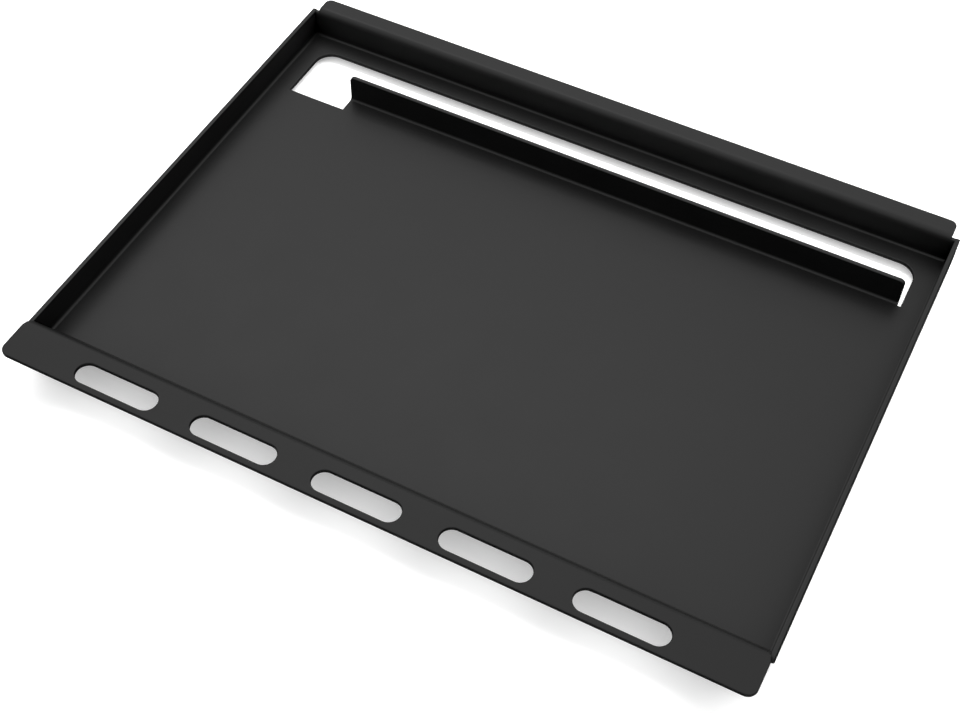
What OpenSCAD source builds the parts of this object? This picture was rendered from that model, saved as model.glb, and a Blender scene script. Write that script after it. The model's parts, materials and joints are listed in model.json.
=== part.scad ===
// Drop-in flat top griddle: a folded sheet tray with a front and a rear hanging flange,
// five vents in the front flange, and a grease slot with an upturned lip at the back.
// The sheet is modelled as flat panels that meet along their bend lines.
// X runs across the tray, Y from front to back, Z up. The rest bars stand on Z = 0.

/* [Tray] */
// Width over the outer faces of the two side walls
tray_width = 620; // [520:1:760]
// Depth at the rim, from the top corner of the front wall to the face of the rear wall
cook_depth = 425.3; // [330:0.1:560]
// Height of the side walls and of the grease lip above the cooking face
wall_height = 25.7; // [16:0.1:34]
// Thickness of the sheet
sheet_t = 3.8; // [2:0.1:5]
// Inside radius of every bend
bend_r = 2.5; // [1:0.1:4]
// Lean of the front wall away from vertical, in degrees
front_lean = 30; // [10:1:45]

/* [Front flange] */
// Depth of the front flange, from its front edge to the top corner of the front wall
front_flange_depth = 36.8; // [32:0.1:70]
// Rise of the front flange's underside over the top of the side walls
flange_gap = 1.1; // [0.3:0.1:6]
// How far each end of the front flange stops short of the tray's side
flange_end_inset = 1.2; // [0:0.1:3]
// Radius of the front flange's four corners
flange_corner_r = 8; // [2:0.5:12]
// How far the flange's two back corners reach past its bend line, over the side walls
ear_reach = 4.2; // [0:0.1:5]

/* [Vents] */
// Number of vents in the front flange, spaced evenly
vent_count = 5; // [2:1:5]
// Length of a vent, end to end
vent_length = 72.4; // [25:0.1:75]
// Width of a vent
vent_width = 19; // [6:0.1:21]
// Distance from each end of the flange to the vent nearest to it
vent_end_margin = 64.4; // [42:0.1:66]
// Offset of the row of vents from the middle of the flange, to the left where it is negative
vent_row_offset = -1; // [-2:0.1:2]
// Distance from the flange's front edge to the vents' centre line
vent_inset = 14.7; // [13:0.1:17]

/* [Rear flange] */
// Depth of the rear flange, from the face of the rear wall to its rear edge
rear_flange_depth = 19.7; // [14:0.1:50]
// Height of the rear flange's top over the top of the side walls
rear_flange_rise = 2.1; // [0.5:0.1:8]
// Corner radius at the rear of the rear flange
rear_corner_r = 6; // [2:0.5:9]

/* [Corners] */
// Space between a folded end panel and the bend of the side wall beside it
weld_gap = 0.6; // [0.3:0.1:3]
// How far the side walls run past the outer face of the front wall
side_overrun = 3.4; // [0.5:0.1:6]
// Radius at the top front corner of the side walls
side_corner_r = 4; // [0.5:0.1:6]
// Height of the side walls' top over the top of the rear corner welds
weld_drop = 1; // [0:0.1:3]

/* [Grease slot] */
// Distance from the inner face of a side wall to the end of the slot
slot_side_margin = 19.1; // [12:0.1:60]
// Distance from the face of the rear wall to the slot's back edge
slot_rear_margin = 17.5; // [12:0.1:60]
// Front to back size of the slot, from the lip's bend line
slot_depth = 48.4; // [36:0.1:80]
// Radius of the slot's two rear corners
slot_corner_r = 16; // [4:0.5:24]
// Width of the drain opening at the left end of the lip
drain_width = 55.4; // [20:0.1:120]
// How far the drain opening reaches forward of the lip's bend line
drain_reach = 12.5; // [4:0.1:40]
// Relief between the right end of the lip and the end of the slot
lip_relief = 2.8; // [1:0.1:10]
// Radius of the lip's two top corners
lip_corner_r = 4.5; // [1:0.1:10]

/* [Rest bars] */
// Thickness of a rest bar, which is the plate's clearance below
bar_t = 5; // [3:0.5:12]
// Width of a rest bar
bar_width = 25; // [12:1:50]
// Corner radius of a rest bar
bar_corner_r = 3; // [1:0.5:5]
// Distance from the side walls' inner faces to the ends of a rest bar
bar_end_margin = 23; // [10:1:80]
// Distance from the bend of the front wall to the front rest bar
front_bar_setback = 45; // [10:1:110]
// Distance from the drain opening to the rear rest bar
rear_bar_setback = 32; // [10:1:110]

/* [Hidden] */
$fn = 64;

enamel = "#3a3a3a";
edge_enamel = "#444444";
weld_enamel = "#2f2f2f";

// Bends: outside radius, and the tangent length of the two bends in the front wall
outer_r = bend_r + sheet_t;
front_bend = 90 - front_lean;
inner_tangent = bend_r * tan(front_bend / 2);
outer_tangent = outer_r * tan(front_bend / 2);

// Heights
plate_bottom = bar_t;
face_z = plate_bottom + sheet_t;
wall_top = face_z + wall_height;
flange_bottom = wall_top + flange_gap;
flange_top = flange_bottom + sheet_t;
rear_top = wall_top + rear_flange_rise;
rear_weld_top = wall_top - weld_drop;

// Stations along Y
tray_depth = front_flange_depth + cook_depth + rear_flange_depth;
front_edge_y = -tray_depth / 2;
front_corner_y = front_edge_y + front_flange_depth;
front_foot_y = front_corner_y + (flange_top - face_z) * tan(front_lean);
plate_front_y = front_foot_y + inner_tangent;
flange_back_y = front_corner_y - outer_tangent;
ear_back_y = flange_back_y + ear_reach;
rear_face_y = front_corner_y + cook_depth;
plate_rear_y = rear_face_y - bend_r;
side_rear_y = rear_face_y + sheet_t;
rear_edge_y = rear_face_y + rear_flange_depth;
slot_back_y = rear_face_y - slot_rear_margin;
lip_bend_y = slot_back_y - slot_depth;
drain_front_y = lip_bend_y - drain_reach;

// Stations along X, from the middle
side_outer_x = tray_width / 2;
side_inner_x = side_outer_x - sheet_t;
plate_half = side_inner_x - bend_r;
panel_half = plate_half - weld_gap;
flange_half = side_outer_x - flange_end_inset;
vent_pitch = (2 * (flange_half - vent_end_margin) - vent_length) / (vent_count - 1);
slot_half = side_inner_x - slot_side_margin;
lip_left_x = -slot_half + drain_width;
lip_right_x = slot_half - lip_relief;
bar_half = side_inner_x - bar_end_margin;

// A cut runs this far past the faces it goes through
cut = 10;

// Two shapes of one piece run this far into each other
lap = 1;

// ---- shared shapes ----

// Extrudes a Y-Z profile along X, from x0 to x1
module across(x0, x1) {
    translate([x0, 0, 0])
        rotate([90, 0, 90])
            linear_extrude(x1 - x0) children();
}

// Extrudes an X-Z profile along Y, from y0 to y1
module along(y0, y1) {
    translate([0, y1, 0])
        rotate([90, 0, 0])
            linear_extrude(y1 - y0) children();
}

// Extrudes an X-Y outline upwards, from z0 to z1
module upwards(z0, z1) {
    translate([0, 0, z0])
        linear_extrude(z1 - z0) children();
}

// Sheet bent through a turn of less than 180 degrees: a ring sector between two angles
module bent_sheet(centre, from, to) {
    reach = 2 * outer_r;
    middle = (from + to) / 2;
    translate(centre)
        intersection() {
            difference() {
                circle(outer_r);
                circle(bend_r);
            }
            polygon([
                [0, 0],
                reach * [cos(from), sin(from)],
                reach * 1.5 * [cos(middle), sin(middle)],
                reach * [cos(to), sin(to)]
            ]);
        }
}

// What is cut from a square corner at the origin to round it; the corner points to -X -Y
module corner_waste(r) {
    difference() {
        translate([-cut, -cut]) square(r + cut);
        translate([r, r]) circle(r);
    }
}

// Rectangle from low to high with its corners rounded; 0 leaves a corner square
module rounded_rect(low, high, front_r, back_r) {
    size = high - low;
    middle = (low + high) / 2;
    difference() {
        translate(low) square(size);
        for (side = [0, 1]) {
            if (front_r > 0)
                translate(middle) mirror([side, 0]) translate(-size / 2) corner_waste(front_r);
            if (back_r > 0)
                translate(middle) mirror([side, 0]) mirror([0, 1])
                    translate(-size / 2) corner_waste(back_r);
        }
    }
}

// ---- profiles ----

// Front wall from the plate's bend to where the flange's bend starts, drawn upright and then leant
module front_wall_profile() {
    bend_rise = flange_top - outer_r - face_z - bend_r;
    bend_run = plate_front_y - flange_back_y;
    length = bend_rise * cos(front_lean) + bend_run * sin(front_lean);
    translate([plate_front_y, face_z + bend_r])
        rotate(front_lean) {
            bent_sheet([0, 0], 180, 270 - front_lean);
            translate([-outer_r, 0]) square([sheet_t, length]);
        }
}

// Bend between the front wall and the front flange
module front_flange_bend() {
    bent_sheet([flange_back_y, flange_top - outer_r], front_lean, 90);
    translate([flange_back_y - lap, flange_bottom]) square([lap, sheet_t]);
}

// Rear wall from the plate's bend to where the rear flange's bend starts
module rear_wall_profile() {
    bent_sheet([plate_rear_y, face_z + bend_r], 270, 360);
    translate([rear_face_y, face_z + bend_r])
        square([sheet_t, rear_top - outer_r - face_z - bend_r]);
}

// Bend between the rear wall and the rear flange
module rear_flange_bend() {
    bent_sheet([rear_face_y + outer_r, rear_top - outer_r], 90, 180);
    translate([rear_face_y + outer_r, rear_top - sheet_t]) square([lap, sheet_t]);
}

// Rear weld: beside the rear wall, and on beside the flange's bend as high as the side wall lets it
module rear_weld_profile() {
    rear_wall_profile();
    intersection() {
        rear_flange_bend();
        translate([rear_face_y, rear_top - outer_r - lap])
            square([sheet_t, rear_weld_top - rear_top + outer_r + lap]);
    }
}

// Right side wall: its bend and its upright
module side_wall_profile() {
    bent_sheet([plate_half, face_z + bend_r], 270, 360);
    translate([side_inner_x, face_z + bend_r])
        square([sheet_t, wall_height - bend_r]);
}

// Side view of a side wall, whose front end leans with the front wall
module side_wall_outline() {
    slope = tan(front_lean);
    overrun = side_overrun + sheet_t / cos(front_lean);
    front_at_face = front_foot_y - overrun;
    front_at_top = front_at_face - wall_height * slope;
    front_at_bottom = front_at_face + sheet_t * slope;
    setback = side_corner_r / tan((90 - front_lean) / 2);
    round_centre = [front_at_top + setback, wall_top - side_corner_r];
    difference() {
        polygon([
            [front_at_bottom, plate_bottom],
            [side_rear_y, plate_bottom],
            [side_rear_y, wall_top],
            [front_at_top, wall_top]
        ]);
        difference() {
            polygon([
                [front_at_top, wall_top],
                [front_at_top + setback, wall_top],
                round_centre,
                round_centre - side_corner_r * [cos(front_lean), sin(front_lean)]
            ]);
            translate(round_centre) circle(side_corner_r);
        }
    }
}

// Cross-section of a corner weld, which bridges the side wall's bend with a flat
module weld_section() {
    polygon([
        [panel_half, plate_bottom],
        [plate_half, plate_bottom],
        [plate_half, face_z],
        [side_inner_x, face_z + bend_r],
        [side_inner_x, flange_top],
        [panel_half, flange_top]
    ]);
}

// Slot behind the lip, with the drain opening at its left end
module grease_opening() {
    rounded_rect([-slot_half, lip_bend_y], [slot_half, slot_back_y], 0, slot_corner_r);
    translate([-slot_half, drain_front_y])
        square([drain_width, drain_reach + lap]);
}

// ---- sub-parts ----

// Flat cooking plate, pierced by the grease slot and the drain opening
module griddle_plate() {
    color(enamel)
        upwards(plate_bottom, face_z)
            difference() {
                translate([-plate_half, plate_front_y])
                    square([2 * plate_half, plate_rear_y - plate_front_y]);
                grease_opening();
            }
}

// Lip folded up from the front edge of the slot, with rounded top corners
module grease_lip() {
    color(enamel)
        intersection() {
            across(lip_left_x, lip_right_x) {
                bent_sheet([lip_bend_y, face_z + bend_r], 270, 360);
                translate([lip_bend_y + bend_r, face_z + bend_r])
                    square([sheet_t, wall_height - bend_r]);
            }
            along(lip_bend_y - cut, slot_back_y)
                rounded_rect([lip_left_x, plate_bottom], [lip_right_x, wall_top], 0, lip_corner_r);
        }
}

// Side wall folded up from the plate; the right one, which the left one mirrors
module side_wall() {
    color(edge_enamel)
        intersection() {
            along(front_edge_y, side_rear_y) side_wall_profile();
            across(plate_half - cut, side_outer_x + cut) side_wall_outline();
        }
}

module right_side_wall() {
    side_wall();
}

module left_side_wall() {
    mirror([1, 0, 0]) side_wall();
}

// Leaning wall between the plate and the front flange
module front_wall() {
    color(enamel)
        across(-panel_half, panel_half) front_wall_profile();
}

// One vent, a slot with full round ends
module vent() {
    straight = vent_length - vent_width;
    square([straight, vent_width], center = true);
    for (end = [-1, 1])
        translate([end * straight / 2, 0]) circle(vent_width / 2);
}

// Front flange: the bend from the front wall, then a flat shelf with the vents.
// Its two back corners are ears, which bend with it and run over the side walls.
module front_flange() {
    color(enamel) {
        across(-panel_half, panel_half) front_flange_bend();
        intersection() {
            across(-flange_half, flange_half) {
                front_flange_bend();
                translate([front_edge_y, flange_bottom])
                    square([flange_back_y - front_edge_y, sheet_t]);
            }
            upwards(plate_bottom, flange_top + cut) front_flange_outline();
        }
    }
}

// Front flange seen from above: a rounded rectangle, pierced by the vents
module front_flange_outline() {
    vent_y = front_edge_y + vent_inset;
    difference() {
        rounded_rect([-flange_half, front_edge_y], [flange_half, ear_back_y],
            flange_corner_r, flange_corner_r);
        for (i = [0 : vent_count - 1])
            translate([vent_row_offset + (i - (vent_count - 1) / 2) * vent_pitch, vent_y]) vent();
    }
}

// Upright wall at the back of the plate
module rear_wall() {
    color(enamel)
        across(-panel_half, panel_half) rear_wall_profile();
}

// Rear flange: the bend from the rear wall, then a flat strip
module rear_flange() {
    color(enamel) {
        across(-panel_half, panel_half) rear_flange_bend();
        upwards(rear_top - sheet_t, rear_top)
            rounded_rect([-panel_half, rear_face_y + outer_r], [panel_half, rear_edge_y],
                0, rear_corner_r);
    }
}

// Weld filling the corner between the end of a folded panel and the right side wall
module corner_weld() {
    color(weld_enamel)
        intersection() {
            across(panel_half - cut, side_outer_x) children();
            along(front_edge_y, rear_edge_y) weld_section();
        }
}

module front_right_weld() {
    corner_weld() front_wall_profile();
}

module front_left_weld() {
    mirror([1, 0, 0]) front_right_weld();
}

module rear_right_weld() {
    corner_weld() rear_weld_profile();
}

module rear_left_weld() {
    mirror([1, 0, 0]) rear_right_weld();
}

// Flat bar welded under the plate, with its front edge at y
module rest_bar(y) {
    color(edge_enamel)
        upwards(0, bar_t)
            rounded_rect([-bar_half, y], [bar_half, y + bar_width],
                bar_corner_r, bar_corner_r);
}

module front_rest_bar() {
    rest_bar(plate_front_y + front_bar_setback);
}

module rear_rest_bar() {
    rest_bar(drain_front_y - rear_bar_setback - bar_width);
}

griddle_plate();
grease_lip();
left_side_wall();
right_side_wall();
front_wall();
front_flange();
rear_wall();
rear_flange();
front_left_weld();
front_right_weld();
rear_left_weld();
rear_right_weld();
front_rest_bar();
rear_rest_bar();
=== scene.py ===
"""Looks for a drop-in flat top griddle: satin black enamel over folded and welded steel sheet."""

import json
import math

import bmesh
import bpy
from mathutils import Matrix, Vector
from mathutils.bvhtree import BVHTree

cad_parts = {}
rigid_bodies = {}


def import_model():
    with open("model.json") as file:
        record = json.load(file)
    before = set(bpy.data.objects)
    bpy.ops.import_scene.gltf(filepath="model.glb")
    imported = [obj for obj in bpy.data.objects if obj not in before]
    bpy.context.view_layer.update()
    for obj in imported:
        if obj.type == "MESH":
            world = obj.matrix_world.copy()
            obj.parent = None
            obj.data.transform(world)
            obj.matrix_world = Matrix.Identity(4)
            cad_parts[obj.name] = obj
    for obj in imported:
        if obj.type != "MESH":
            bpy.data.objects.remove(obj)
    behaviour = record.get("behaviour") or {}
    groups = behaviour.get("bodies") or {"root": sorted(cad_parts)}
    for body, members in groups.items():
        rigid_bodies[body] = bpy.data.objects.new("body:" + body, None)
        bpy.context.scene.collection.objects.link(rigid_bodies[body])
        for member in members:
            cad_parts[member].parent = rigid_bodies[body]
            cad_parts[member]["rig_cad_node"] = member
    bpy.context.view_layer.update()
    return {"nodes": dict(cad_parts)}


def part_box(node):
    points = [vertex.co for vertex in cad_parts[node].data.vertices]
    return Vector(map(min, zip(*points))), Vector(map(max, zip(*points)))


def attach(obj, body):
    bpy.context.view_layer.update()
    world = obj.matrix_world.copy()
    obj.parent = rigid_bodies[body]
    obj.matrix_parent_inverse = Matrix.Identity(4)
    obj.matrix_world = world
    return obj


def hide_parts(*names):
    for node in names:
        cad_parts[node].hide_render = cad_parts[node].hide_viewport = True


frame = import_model()
nodes = frame["nodes"]
MM = 0.001


# ---- small tools ----

def deselect_all():
    """Leaves nothing selected, so that the next operator acts only on what it adds."""
    bpy.ops.object.select_all(action="DESELECT")


def hex_to_linear(colour):
    """An sRGB hex colour as the linear RGBA of a colour socket."""
    steps = [int(colour[i:i + 2], 16) / 255 for i in (1, 3, 5)]
    return [s / 12.92 if s <= 0.04045 else ((s + 0.055) / 1.055) ** 2.4 for s in steps] + [1.0]


def add_node(tree, kind, settings=(), inputs=()):
    """Adds a node, sets its properties, and fills or links its inputs."""
    node = tree.nodes.new(kind)
    for name, value in dict(settings).items():
        setattr(node, name, value)
    for socket, value in dict(inputs).items():
        if isinstance(value, bpy.types.NodeSocket):
            tree.links.new(value, node.inputs[socket])
        else:
            node.inputs[socket].default_value = value
    return node


# ---- finishes ----

def fired_enamel(name, dark, light, gloss, peel_depth):
    """Black porcelain enamel: a sprayed frit coat fired on steel, satin where the frit has matting clay in it.
    The eye sees a soft sheen with a faint orange peel, and slow clouds of tone where the spray lay thicker."""
    material = bpy.data.materials.new(name)
    material.use_nodes = True
    tree = material.node_tree
    tree.nodes.clear()
    place = add_node(tree, "ShaderNodeTexCoord").outputs["Object"]
    # Spray passes overlap every 40 mm or so
    clouds = add_node(tree, "ShaderNodeTexNoise", inputs={
        "Vector": place, "Scale": 1 / (40 * MM), "Detail": 3.0, "Roughness": 0.5})
    tone = add_node(tree, "ShaderNodeMix", {"data_type": "RGBA"}, {
        "Factor": clouds.outputs["Fac"], 6: hex_to_linear(dark), 7: hex_to_linear(light)})
    # Clay specks of the matting are under 0.1 mm, and are drawn at 0.6 mm so that they show
    specks = add_node(tree, "ShaderNodeTexNoise", inputs={
        "Vector": place, "Scale": 1 / (0.6 * MM), "Detail": 2.0, "Roughness": 0.6})
    sheen = add_node(tree, "ShaderNodeMath", {"operation": "ADD"}, {
        0: clouds.outputs["Fac"], 1: specks.outputs["Fac"]})
    rough = add_node(tree, "ShaderNodeMapRange", inputs={
        "Value": sheen.outputs[0], "From Min": 0.6, "From Max": 1.4,
        "To Min": gloss[0], "To Max": gloss[1]})
    # Orange peel of fired enamel has cells of 2 to 3 mm
    peel = add_node(tree, "ShaderNodeTexNoise", inputs={
        "Vector": place, "Scale": 1 / (2.5 * MM), "Detail": 1.0, "Roughness": 0.4})
    relief = add_node(tree, "ShaderNodeMath", {"operation": "MULTIPLY_ADD"}, {
        0: specks.outputs["Fac"], 1: 0.15, 2: peel.outputs["Fac"]})
    bump = add_node(tree, "ShaderNodeBump", inputs={
        "Strength": 1.0, "Distance": peel_depth, "Height": relief.outputs[0]})
    shader = add_node(tree, "ShaderNodeBsdfPrincipled", inputs={
        "Base Color": tone.outputs[2], "Roughness": rough.outputs["Result"],
        "IOR": 1.5, "Specular IOR Level": 0.25, "Normal": bump.outputs["Normal"]})
    add_node(tree, "ShaderNodeOutputMaterial", inputs={"Surface": shader.outputs["BSDF"]})
    return material


COOKING_ENAMEL = fired_enamel("satin_black_enamel_cooking_face", "#232323", "#282828", (0.36, 0.44), 0.012 * MM)
WALL_ENAMEL = fired_enamel("satin_black_enamel_walls", "#232323", "#282828", (0.36, 0.44), 0.012 * MM)
FLANGE_ENAMEL = fired_enamel("satin_black_enamel_flanges", "#232323", "#282828", (0.36, 0.44), 0.012 * MM)
# Painted shade: the front flange is the same enamel as the walls and flanges, given a darker tone and a little
# more roughness so that it reads dimmer, as if less light fell on it
FRONT_FLANGE_PAINTED_SHADE_ENAMEL = fired_enamel(
    "satin_black_enamel_front_flange_painted_shade", "#1d1d1d", "#222222", (0.40, 0.48), 0.012 * MM)
WELD_ENAMEL = fired_enamel("satin_black_enamel_over_welds", "#202020", "#282828", (0.38, 0.50), 0.02 * MM)
UNDERSIDE_ENAMEL = fired_enamel("ground_coat_enamel_underside", "#222222", "#292929", (0.42, 0.56), 0.02 * MM)


# ---- folded sheet, with its cut edges rounded ----

SHEET_EDGE = 0.8 * MM
# The front flange lies flat for 33 mm from its front edge, then bends down
FRONT_BEND_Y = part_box("front_flange")[0].y + 33.2 * MM
FACES = {
    name: BVHTree.FromPolygons([v.co for v in node.data.vertices], [f.vertices for f in node.data.polygons])
    for name, node in nodes.items()
}


def touches_neighbour(node, point):
    """True if a point of a node lies on another node, so that an edge there is a seam and not a cut edge."""
    others = (faces for name, faces in FACES.items() if name != node)
    return any(faces.find_nearest(point, 0.02 * MM)[0] is not None for faces in others)


def is_cut_edge(node, edge):
    """True for a sharp outside edge that is free along all its length, so that it was cut and not welded."""
    if len(edge.link_faces) != 2 or not edge.is_convex or edge.calc_face_angle() < math.radians(30):
        return False
    start, end = edge.verts[0].co, edge.verts[1].co
    # The ends of the front bend are cut in steps shorter than the rounding, and stay sharp
    if node == "front_flange" and max(start.y, end.y) > FRONT_BEND_Y:
        return False
    return not any(touches_neighbour(node, start.lerp(end, t)) for t in (0.25, 0.5, 0.75))


def sheet_piece(node, enamel, edge_radius):
    """A copy of a CAD node whose laser-cut edges are rounded, as enamel leaves them."""
    deselect_all()
    nodes[node].select_set(True)
    bpy.context.view_layer.objects.active = nodes[node]
    bpy.ops.object.duplicate()
    piece = bpy.context.view_layer.objects.active
    piece.name = node + "_enamelled"
    piece.parent = None
    del piece["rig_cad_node"]
    bpy.ops.object.mode_set(mode="EDIT")
    bpy.ops.mesh.select_mode(type="EDGE")
    bpy.ops.mesh.select_all(action="SELECT")
    bpy.ops.mesh.customdata_custom_splitnormals_clear()
    bpy.ops.mesh.remove_doubles(threshold=0.001 * MM)
    bpy.ops.mesh.dissolve_limited(angle_limit=math.radians(0.2))
    bpy.ops.mesh.select_all(action="DESELECT")
    edges = bmesh.from_edit_mesh(piece.data)
    for edge in edges.edges:
        edge.select = is_cut_edge(node, edge)
    edges.select_flush_mode()
    bmesh.update_edit_mesh(piece.data)
    bpy.ops.mesh.bevel(offset=edge_radius, segments=3, affect="EDGES", clamp_overlap=False)
    bpy.ops.object.mode_set(mode="OBJECT")
    finish_piece(piece, enamel)
    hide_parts(node)
    return piece


def finish_piece(piece, enamel):
    """Smooths a finished mesh, gives it its enamel, and hangs it on the tray."""
    deselect_all()
    piece.select_set(True)
    bpy.context.view_layer.objects.active = piece
    bpy.ops.object.shade_smooth_by_angle(angle=math.radians(35))
    weighted = piece.modifiers.new("flat_faces_stay_flat", "WEIGHTED_NORMAL")
    weighted.keep_sharp = True
    bpy.ops.object.modifier_apply(modifier=weighted.name)
    piece.data.materials.clear()
    piece.data.materials.append(enamel)
    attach(piece, "root")


SHEET_PIECES = {
    "griddle_plate": ("cooking_surface", COOKING_ENAMEL),
    "grease_lip": ("enamel_walls", WALL_ENAMEL),
    "left_side_wall": ("enamel_walls", WALL_ENAMEL),
    "right_side_wall": ("enamel_walls", WALL_ENAMEL),
    "front_flange": ("enamel_flanges", FRONT_FLANGE_PAINTED_SHADE_ENAMEL),
    "rear_flange": ("enamel_flanges", FLANGE_ENAMEL),
    "front_rest_bar": ("enamel_underside", UNDERSIDE_ENAMEL),
    "rear_rest_bar": ("enamel_underside", UNDERSIDE_ENAMEL),
}
for sheet_node, (sheet_slot, sheet_enamel) in SHEET_PIECES.items():
    sheet_piece(sheet_node, sheet_enamel, SHEET_EDGE)

# The two folded walls have no cut edge in sight: their CAD shapes stay
for wall in ("front_wall", "rear_wall"):
    nodes[wall].material_slots[0].material = WALL_ENAMEL
for weld in ("front_left_weld", "front_right_weld", "rear_left_weld", "rear_right_weld"):
    nodes[weld].material_slots[0].material = WELD_ENAMEL


# ---- weld beads ----

# The front wall leans out by this angle, and its lower bend has this outer radius
FRONT_LEAN = math.radians(30)
FRONT_BEND_OUTER_R = 6.3 * MM
RIPPLE_PITCH = 1.8 * MM
# A point off every plane of symmetry: distance from it puts a bead's faces in order
ORDER_POINT = (1.3, 0.7, 0.41)
# Widths of a bead as parts of its full width: at its two ends, on a ripple and between ripples
BEAD_END, RIPPLE_CREST, RIPPLE_DIP = 0.55, 1.0, 0.84
FRONT_BEAD_R = 2.2 * MM
REAR_BEAD_R = 2.0 * MM
# How deep a corner bead's middle line lies in the metal
BEAD_SUNK = 0.6 * MM
STITCH_R = 2.0 * MM
STITCH_LENGTH = 20 * MM
STITCH_PLACES = (-252 * MM, -84 * MM, 84 * MM, 252 * MM)


def weld_bead(name, start, end, radius):
    """A hand-laid bead from start to end: rounded ripples one behind the other, drawn in at both ends."""
    run = end - start
    steps = 2 * round(run.length / RIPPLE_PITCH)
    deselect_all()
    bpy.ops.mesh.primitive_circle_add(
        vertices=12, radius=BEAD_END * radius, fill_type="NGON",
        location=start, rotation=run.to_track_quat("Z", "Y").to_euler())
    bead = bpy.context.view_layer.objects.active
    bead.name = name
    bpy.ops.object.transform_apply(location=True, rotation=True, scale=True)
    bpy.ops.object.mode_set(mode="EDIT")
    bpy.ops.mesh.select_mode(type="FACE")
    bpy.ops.mesh.select_all(action="SELECT")
    width = BEAD_END
    for step in range(1, steps + 1):
        bpy.ops.mesh.extrude_region_move(TRANSFORM_OT_translate={"value": run / steps})
        wanted = BEAD_END if step == steps else (RIPPLE_CREST if step % 2 else RIPPLE_DIP)
        bpy.ops.transform.resize(value=(wanted / width,) * 3, center_override=start + run * step / steps)
        width = wanted
    bpy.ops.mesh.select_all(action="SELECT")
    bpy.ops.mesh.normals_make_consistent(inside=False)
    # Extrude leaves the faces in a chance order, which would change from run to run
    bpy.context.scene.cursor.location = ORDER_POINT
    bpy.ops.mesh.sort_elements(type="CURSOR_DISTANCE", elements={"VERT", "EDGE", "FACE"})
    bpy.ops.object.mode_set(mode="OBJECT")
    rounded = bead.modifiers.new("melted_ripples", "SUBSURF")
    rounded.levels = rounded.render_levels = 1
    bpy.ops.object.modifier_apply(modifier=rounded.name)
    return bead


def corner_beads(side, hand):
    """The beads on the outside of the front and rear corners of one side."""
    plate_low, plate_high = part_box("griddle_plate")
    seam_low, seam_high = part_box("rear_right_weld")
    seam_x = side * (seam_low.x + seam_high.x) / 2
    front_low, front_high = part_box("front_right_weld")
    # Front: a fillet between the side wall and the leaning wall, up its outer face
    foot = Vector((side * (front_high.x - BEAD_SUNK),
                   plate_low.y - FRONT_BEND_OUTER_R * math.cos(FRONT_LEAN),
                   plate_high.z + 2.5 * MM - FRONT_BEND_OUTER_R * math.sin(FRONT_LEAN)))
    top = Vector((foot.x, front_low.y, front_high.z - 3.0 * MM))
    front = weld_bead("front_" + hand + "_weld_bead", foot, top, FRONT_BEAD_R)
    finish_piece(front, WELD_ENAMEL)
    # Rear: a butt bead on the flush back faces, from above the bend to 1 mm under the weld's top
    low_end = Vector((seam_x, seam_high.y - BEAD_SUNK, seam_low.z + 3.0 * MM))
    high_end = Vector((seam_x, low_end.y, seam_high.z - 1.0 * MM))
    rear = weld_bead("rear_" + hand + "_weld_bead", low_end, high_end, REAR_BEAD_R)
    finish_piece(rear, WELD_ENAMEL)


def stitch_welds(bar):
    """Short fillet beads, four along each long edge, that hold a rest bar under the plate."""
    low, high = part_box(bar)
    root = high.z - 0.4 * MM
    start = Vector((-STITCH_LENGTH / 2, 0, root))
    first = weld_bead(bar + "_stitches", start, Vector((-start.x, 0, root)), STITCH_R)
    for edge_y in (low.y, high.y):
        for x in STITCH_PLACES:
            deselect_all()
            first.select_set(True)
            bpy.context.view_layer.objects.active = first
            bpy.ops.object.duplicate()
            bpy.ops.transform.translate(value=(x, edge_y, 0))
            bpy.ops.object.transform_apply(location=True, rotation=True, scale=True)
    copies = [o for o in bpy.data.objects if o.name.startswith(bar + "_stitches.")]
    bpy.data.objects.remove(first)
    deselect_all()
    for stitch in copies:
        stitch.select_set(True)
    bpy.context.view_layer.objects.active = copies[0]
    bpy.ops.object.join()
    copies[0].name = bar + "_stitches"
    finish_piece(copies[0], UNDERSIDE_ENAMEL)


corner_beads(-1, "left")
corner_beads(1, "right")
stitch_welds("front_rest_bar")
stitch_welds("rear_rest_bar")


# ---- floor, light and camera ----

def light_table():
    """A white acrylic table lit a little from below, which keeps the shadows on it pale."""
    deselect_all()
    bpy.ops.mesh.primitive_plane_add(size=60.0, location=(0, 0, 0))
    table = bpy.context.object
    table.name = "light_table"
    # The enamel doesn't mirror the table, so that the cut edges stay black against it
    table.visible_glossy = False
    material = bpy.data.materials.new("white_acrylic_lit_from_below")
    material.use_nodes = True
    shader = material.node_tree.nodes["Principled BSDF"]
    shader.inputs["Base Color"].default_value = hex_to_linear("#ededed")
    shader.inputs["Roughness"].default_value = 0.9
    shader.inputs["Specular IOR Level"].default_value = 0.2
    shader.inputs["Emission Color"].default_value = hex_to_linear("#ffffff")
    shader.inputs["Emission Strength"].default_value = 0.26
    table.data.materials.append(material)
    return table


def softbox(name, place, aim, size, watts, only=None):
    """A rectangular area light at a place, facing a point; it can be kept to one object."""
    light = bpy.data.lights.new(name, "AREA")
    light.shape = "RECTANGLE"
    light.size, light.size_y = size
    light.energy = watts
    lamp = bpy.data.objects.new(name, light)
    bpy.context.scene.collection.objects.link(lamp)
    lamp.location = place
    lamp.rotation_euler = (Vector(aim) - Vector(place)).to_track_quat("-Z", "Y").to_euler()
    if only:
        lit = bpy.data.collections.new(name + "_lights_only")
        lit.objects.link(only)
        lamp.light_linking.receiver_collection = lit


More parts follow.
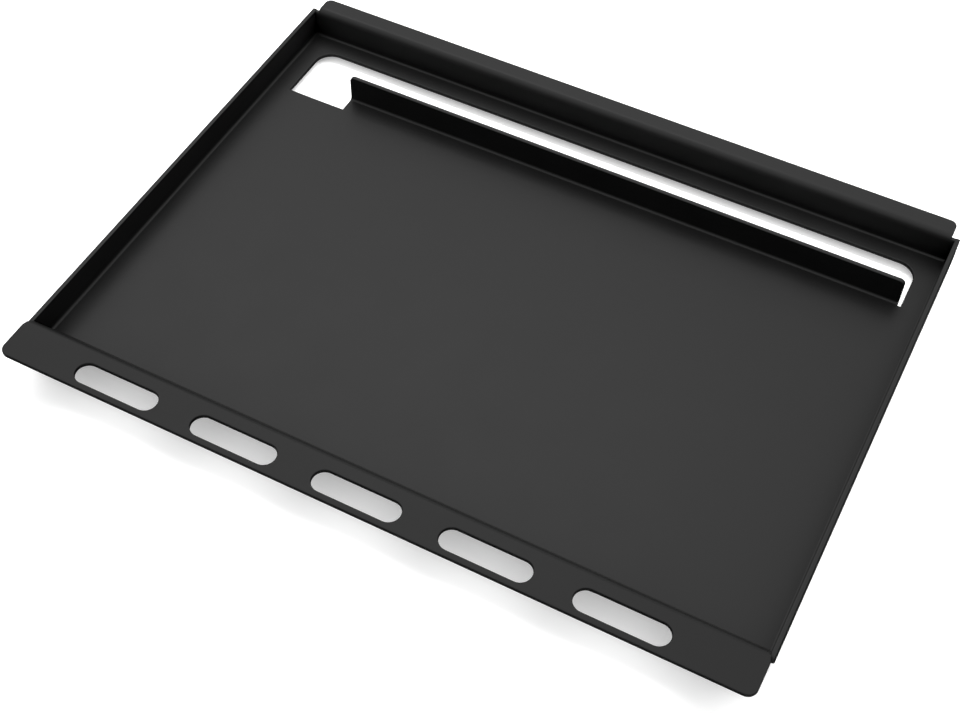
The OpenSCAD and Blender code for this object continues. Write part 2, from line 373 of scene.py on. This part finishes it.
def white_tent():
    """A white tent over the table, brightest overhead and dim at the horizon, and plain white to the eye."""
    world = bpy.data.worlds.new("white_tent")
    world.use_nodes = True
    tree = world.node_tree
    tree.nodes.clear()
    direction = add_node(tree, "ShaderNodeTexCoord").outputs["Generated"]
    height = add_node(tree, "ShaderNodeSeparateXYZ", inputs={"Vector": direction}).outputs["Z"]
    glow = add_node(tree, "ShaderNodeMapRange", {"interpolation_type": "SMOOTHSTEP"}, {
        "Value": height, "From Min": 0.0, "From Max": 1.0, "To Min": 0.0, "To Max": 1.3})
    cloth = add_node(tree, "ShaderNodeBackground", inputs={
        "Color": hex_to_linear("#ffffff"), "Strength": glow.outputs["Result"]})
    backdrop = add_node(tree, "ShaderNodeBackground", inputs={
        "Color": hex_to_linear("#ffffff"), "Strength": 1.0})
    seen = add_node(tree, "ShaderNodeLightPath").outputs["Is Camera Ray"]
    either = add_node(tree, "ShaderNodeMixShader", inputs={
        "Fac": seen, 1: cloth.outputs["Background"], 2: backdrop.outputs["Background"]})
    add_node(tree, "ShaderNodeOutputWorld", inputs={"Surface": either.outputs["Shader"]})
    bpy.context.scene.world = world


def studio(table):
    """The tent and two dim rear lights are for all; the table gets two more, which it needs to stay white."""
    white_tent()
    softbox("rear_softbox", (-1.0, 1.2, 2.0), (-1.0, 1.2, 0.0), (2.0, 0.9), 9.8)
    softbox("rear_panel", (0.0, 2.5, 0.7), (0, 0, 0), (3.0, 1.2), 7)
    softbox("table_rear_strip", (0.0, 0.9, 1.6), (0, 0, 0), (4.0, 0.4), 55, only=table)
    softbox("table_front_softbox", (0.0, -1.5, 1.3), (0, -0.1, 0), (3.6, 1.6), 18, only=table)
    view = bpy.context.scene.view_settings
    view.view_transform = "Standard"
    # Deepens the darkest blacks a little
    view.use_curve_mapping = True
    view.curve_mapping.black_level = (0.004, 0.004, 0.004)


def place_camera():
    """A short telephoto above the front right corner, looking down on the whole tray."""
    data = bpy.data.cameras.new("camera")
    data.sensor_width = 36
    data.lens = 58.17
    camera = bpy.data.objects.new("camera", data)
    bpy.context.scene.collection.objects.link(camera)
    camera.location = (0.34578, -0.7288, 0.97295)
    camera.rotation_euler = [math.radians(a) for a in (38.1322, -0.7442, 27.4140)]
    bpy.context.scene.camera = camera


studio(light_table())
place_camera()
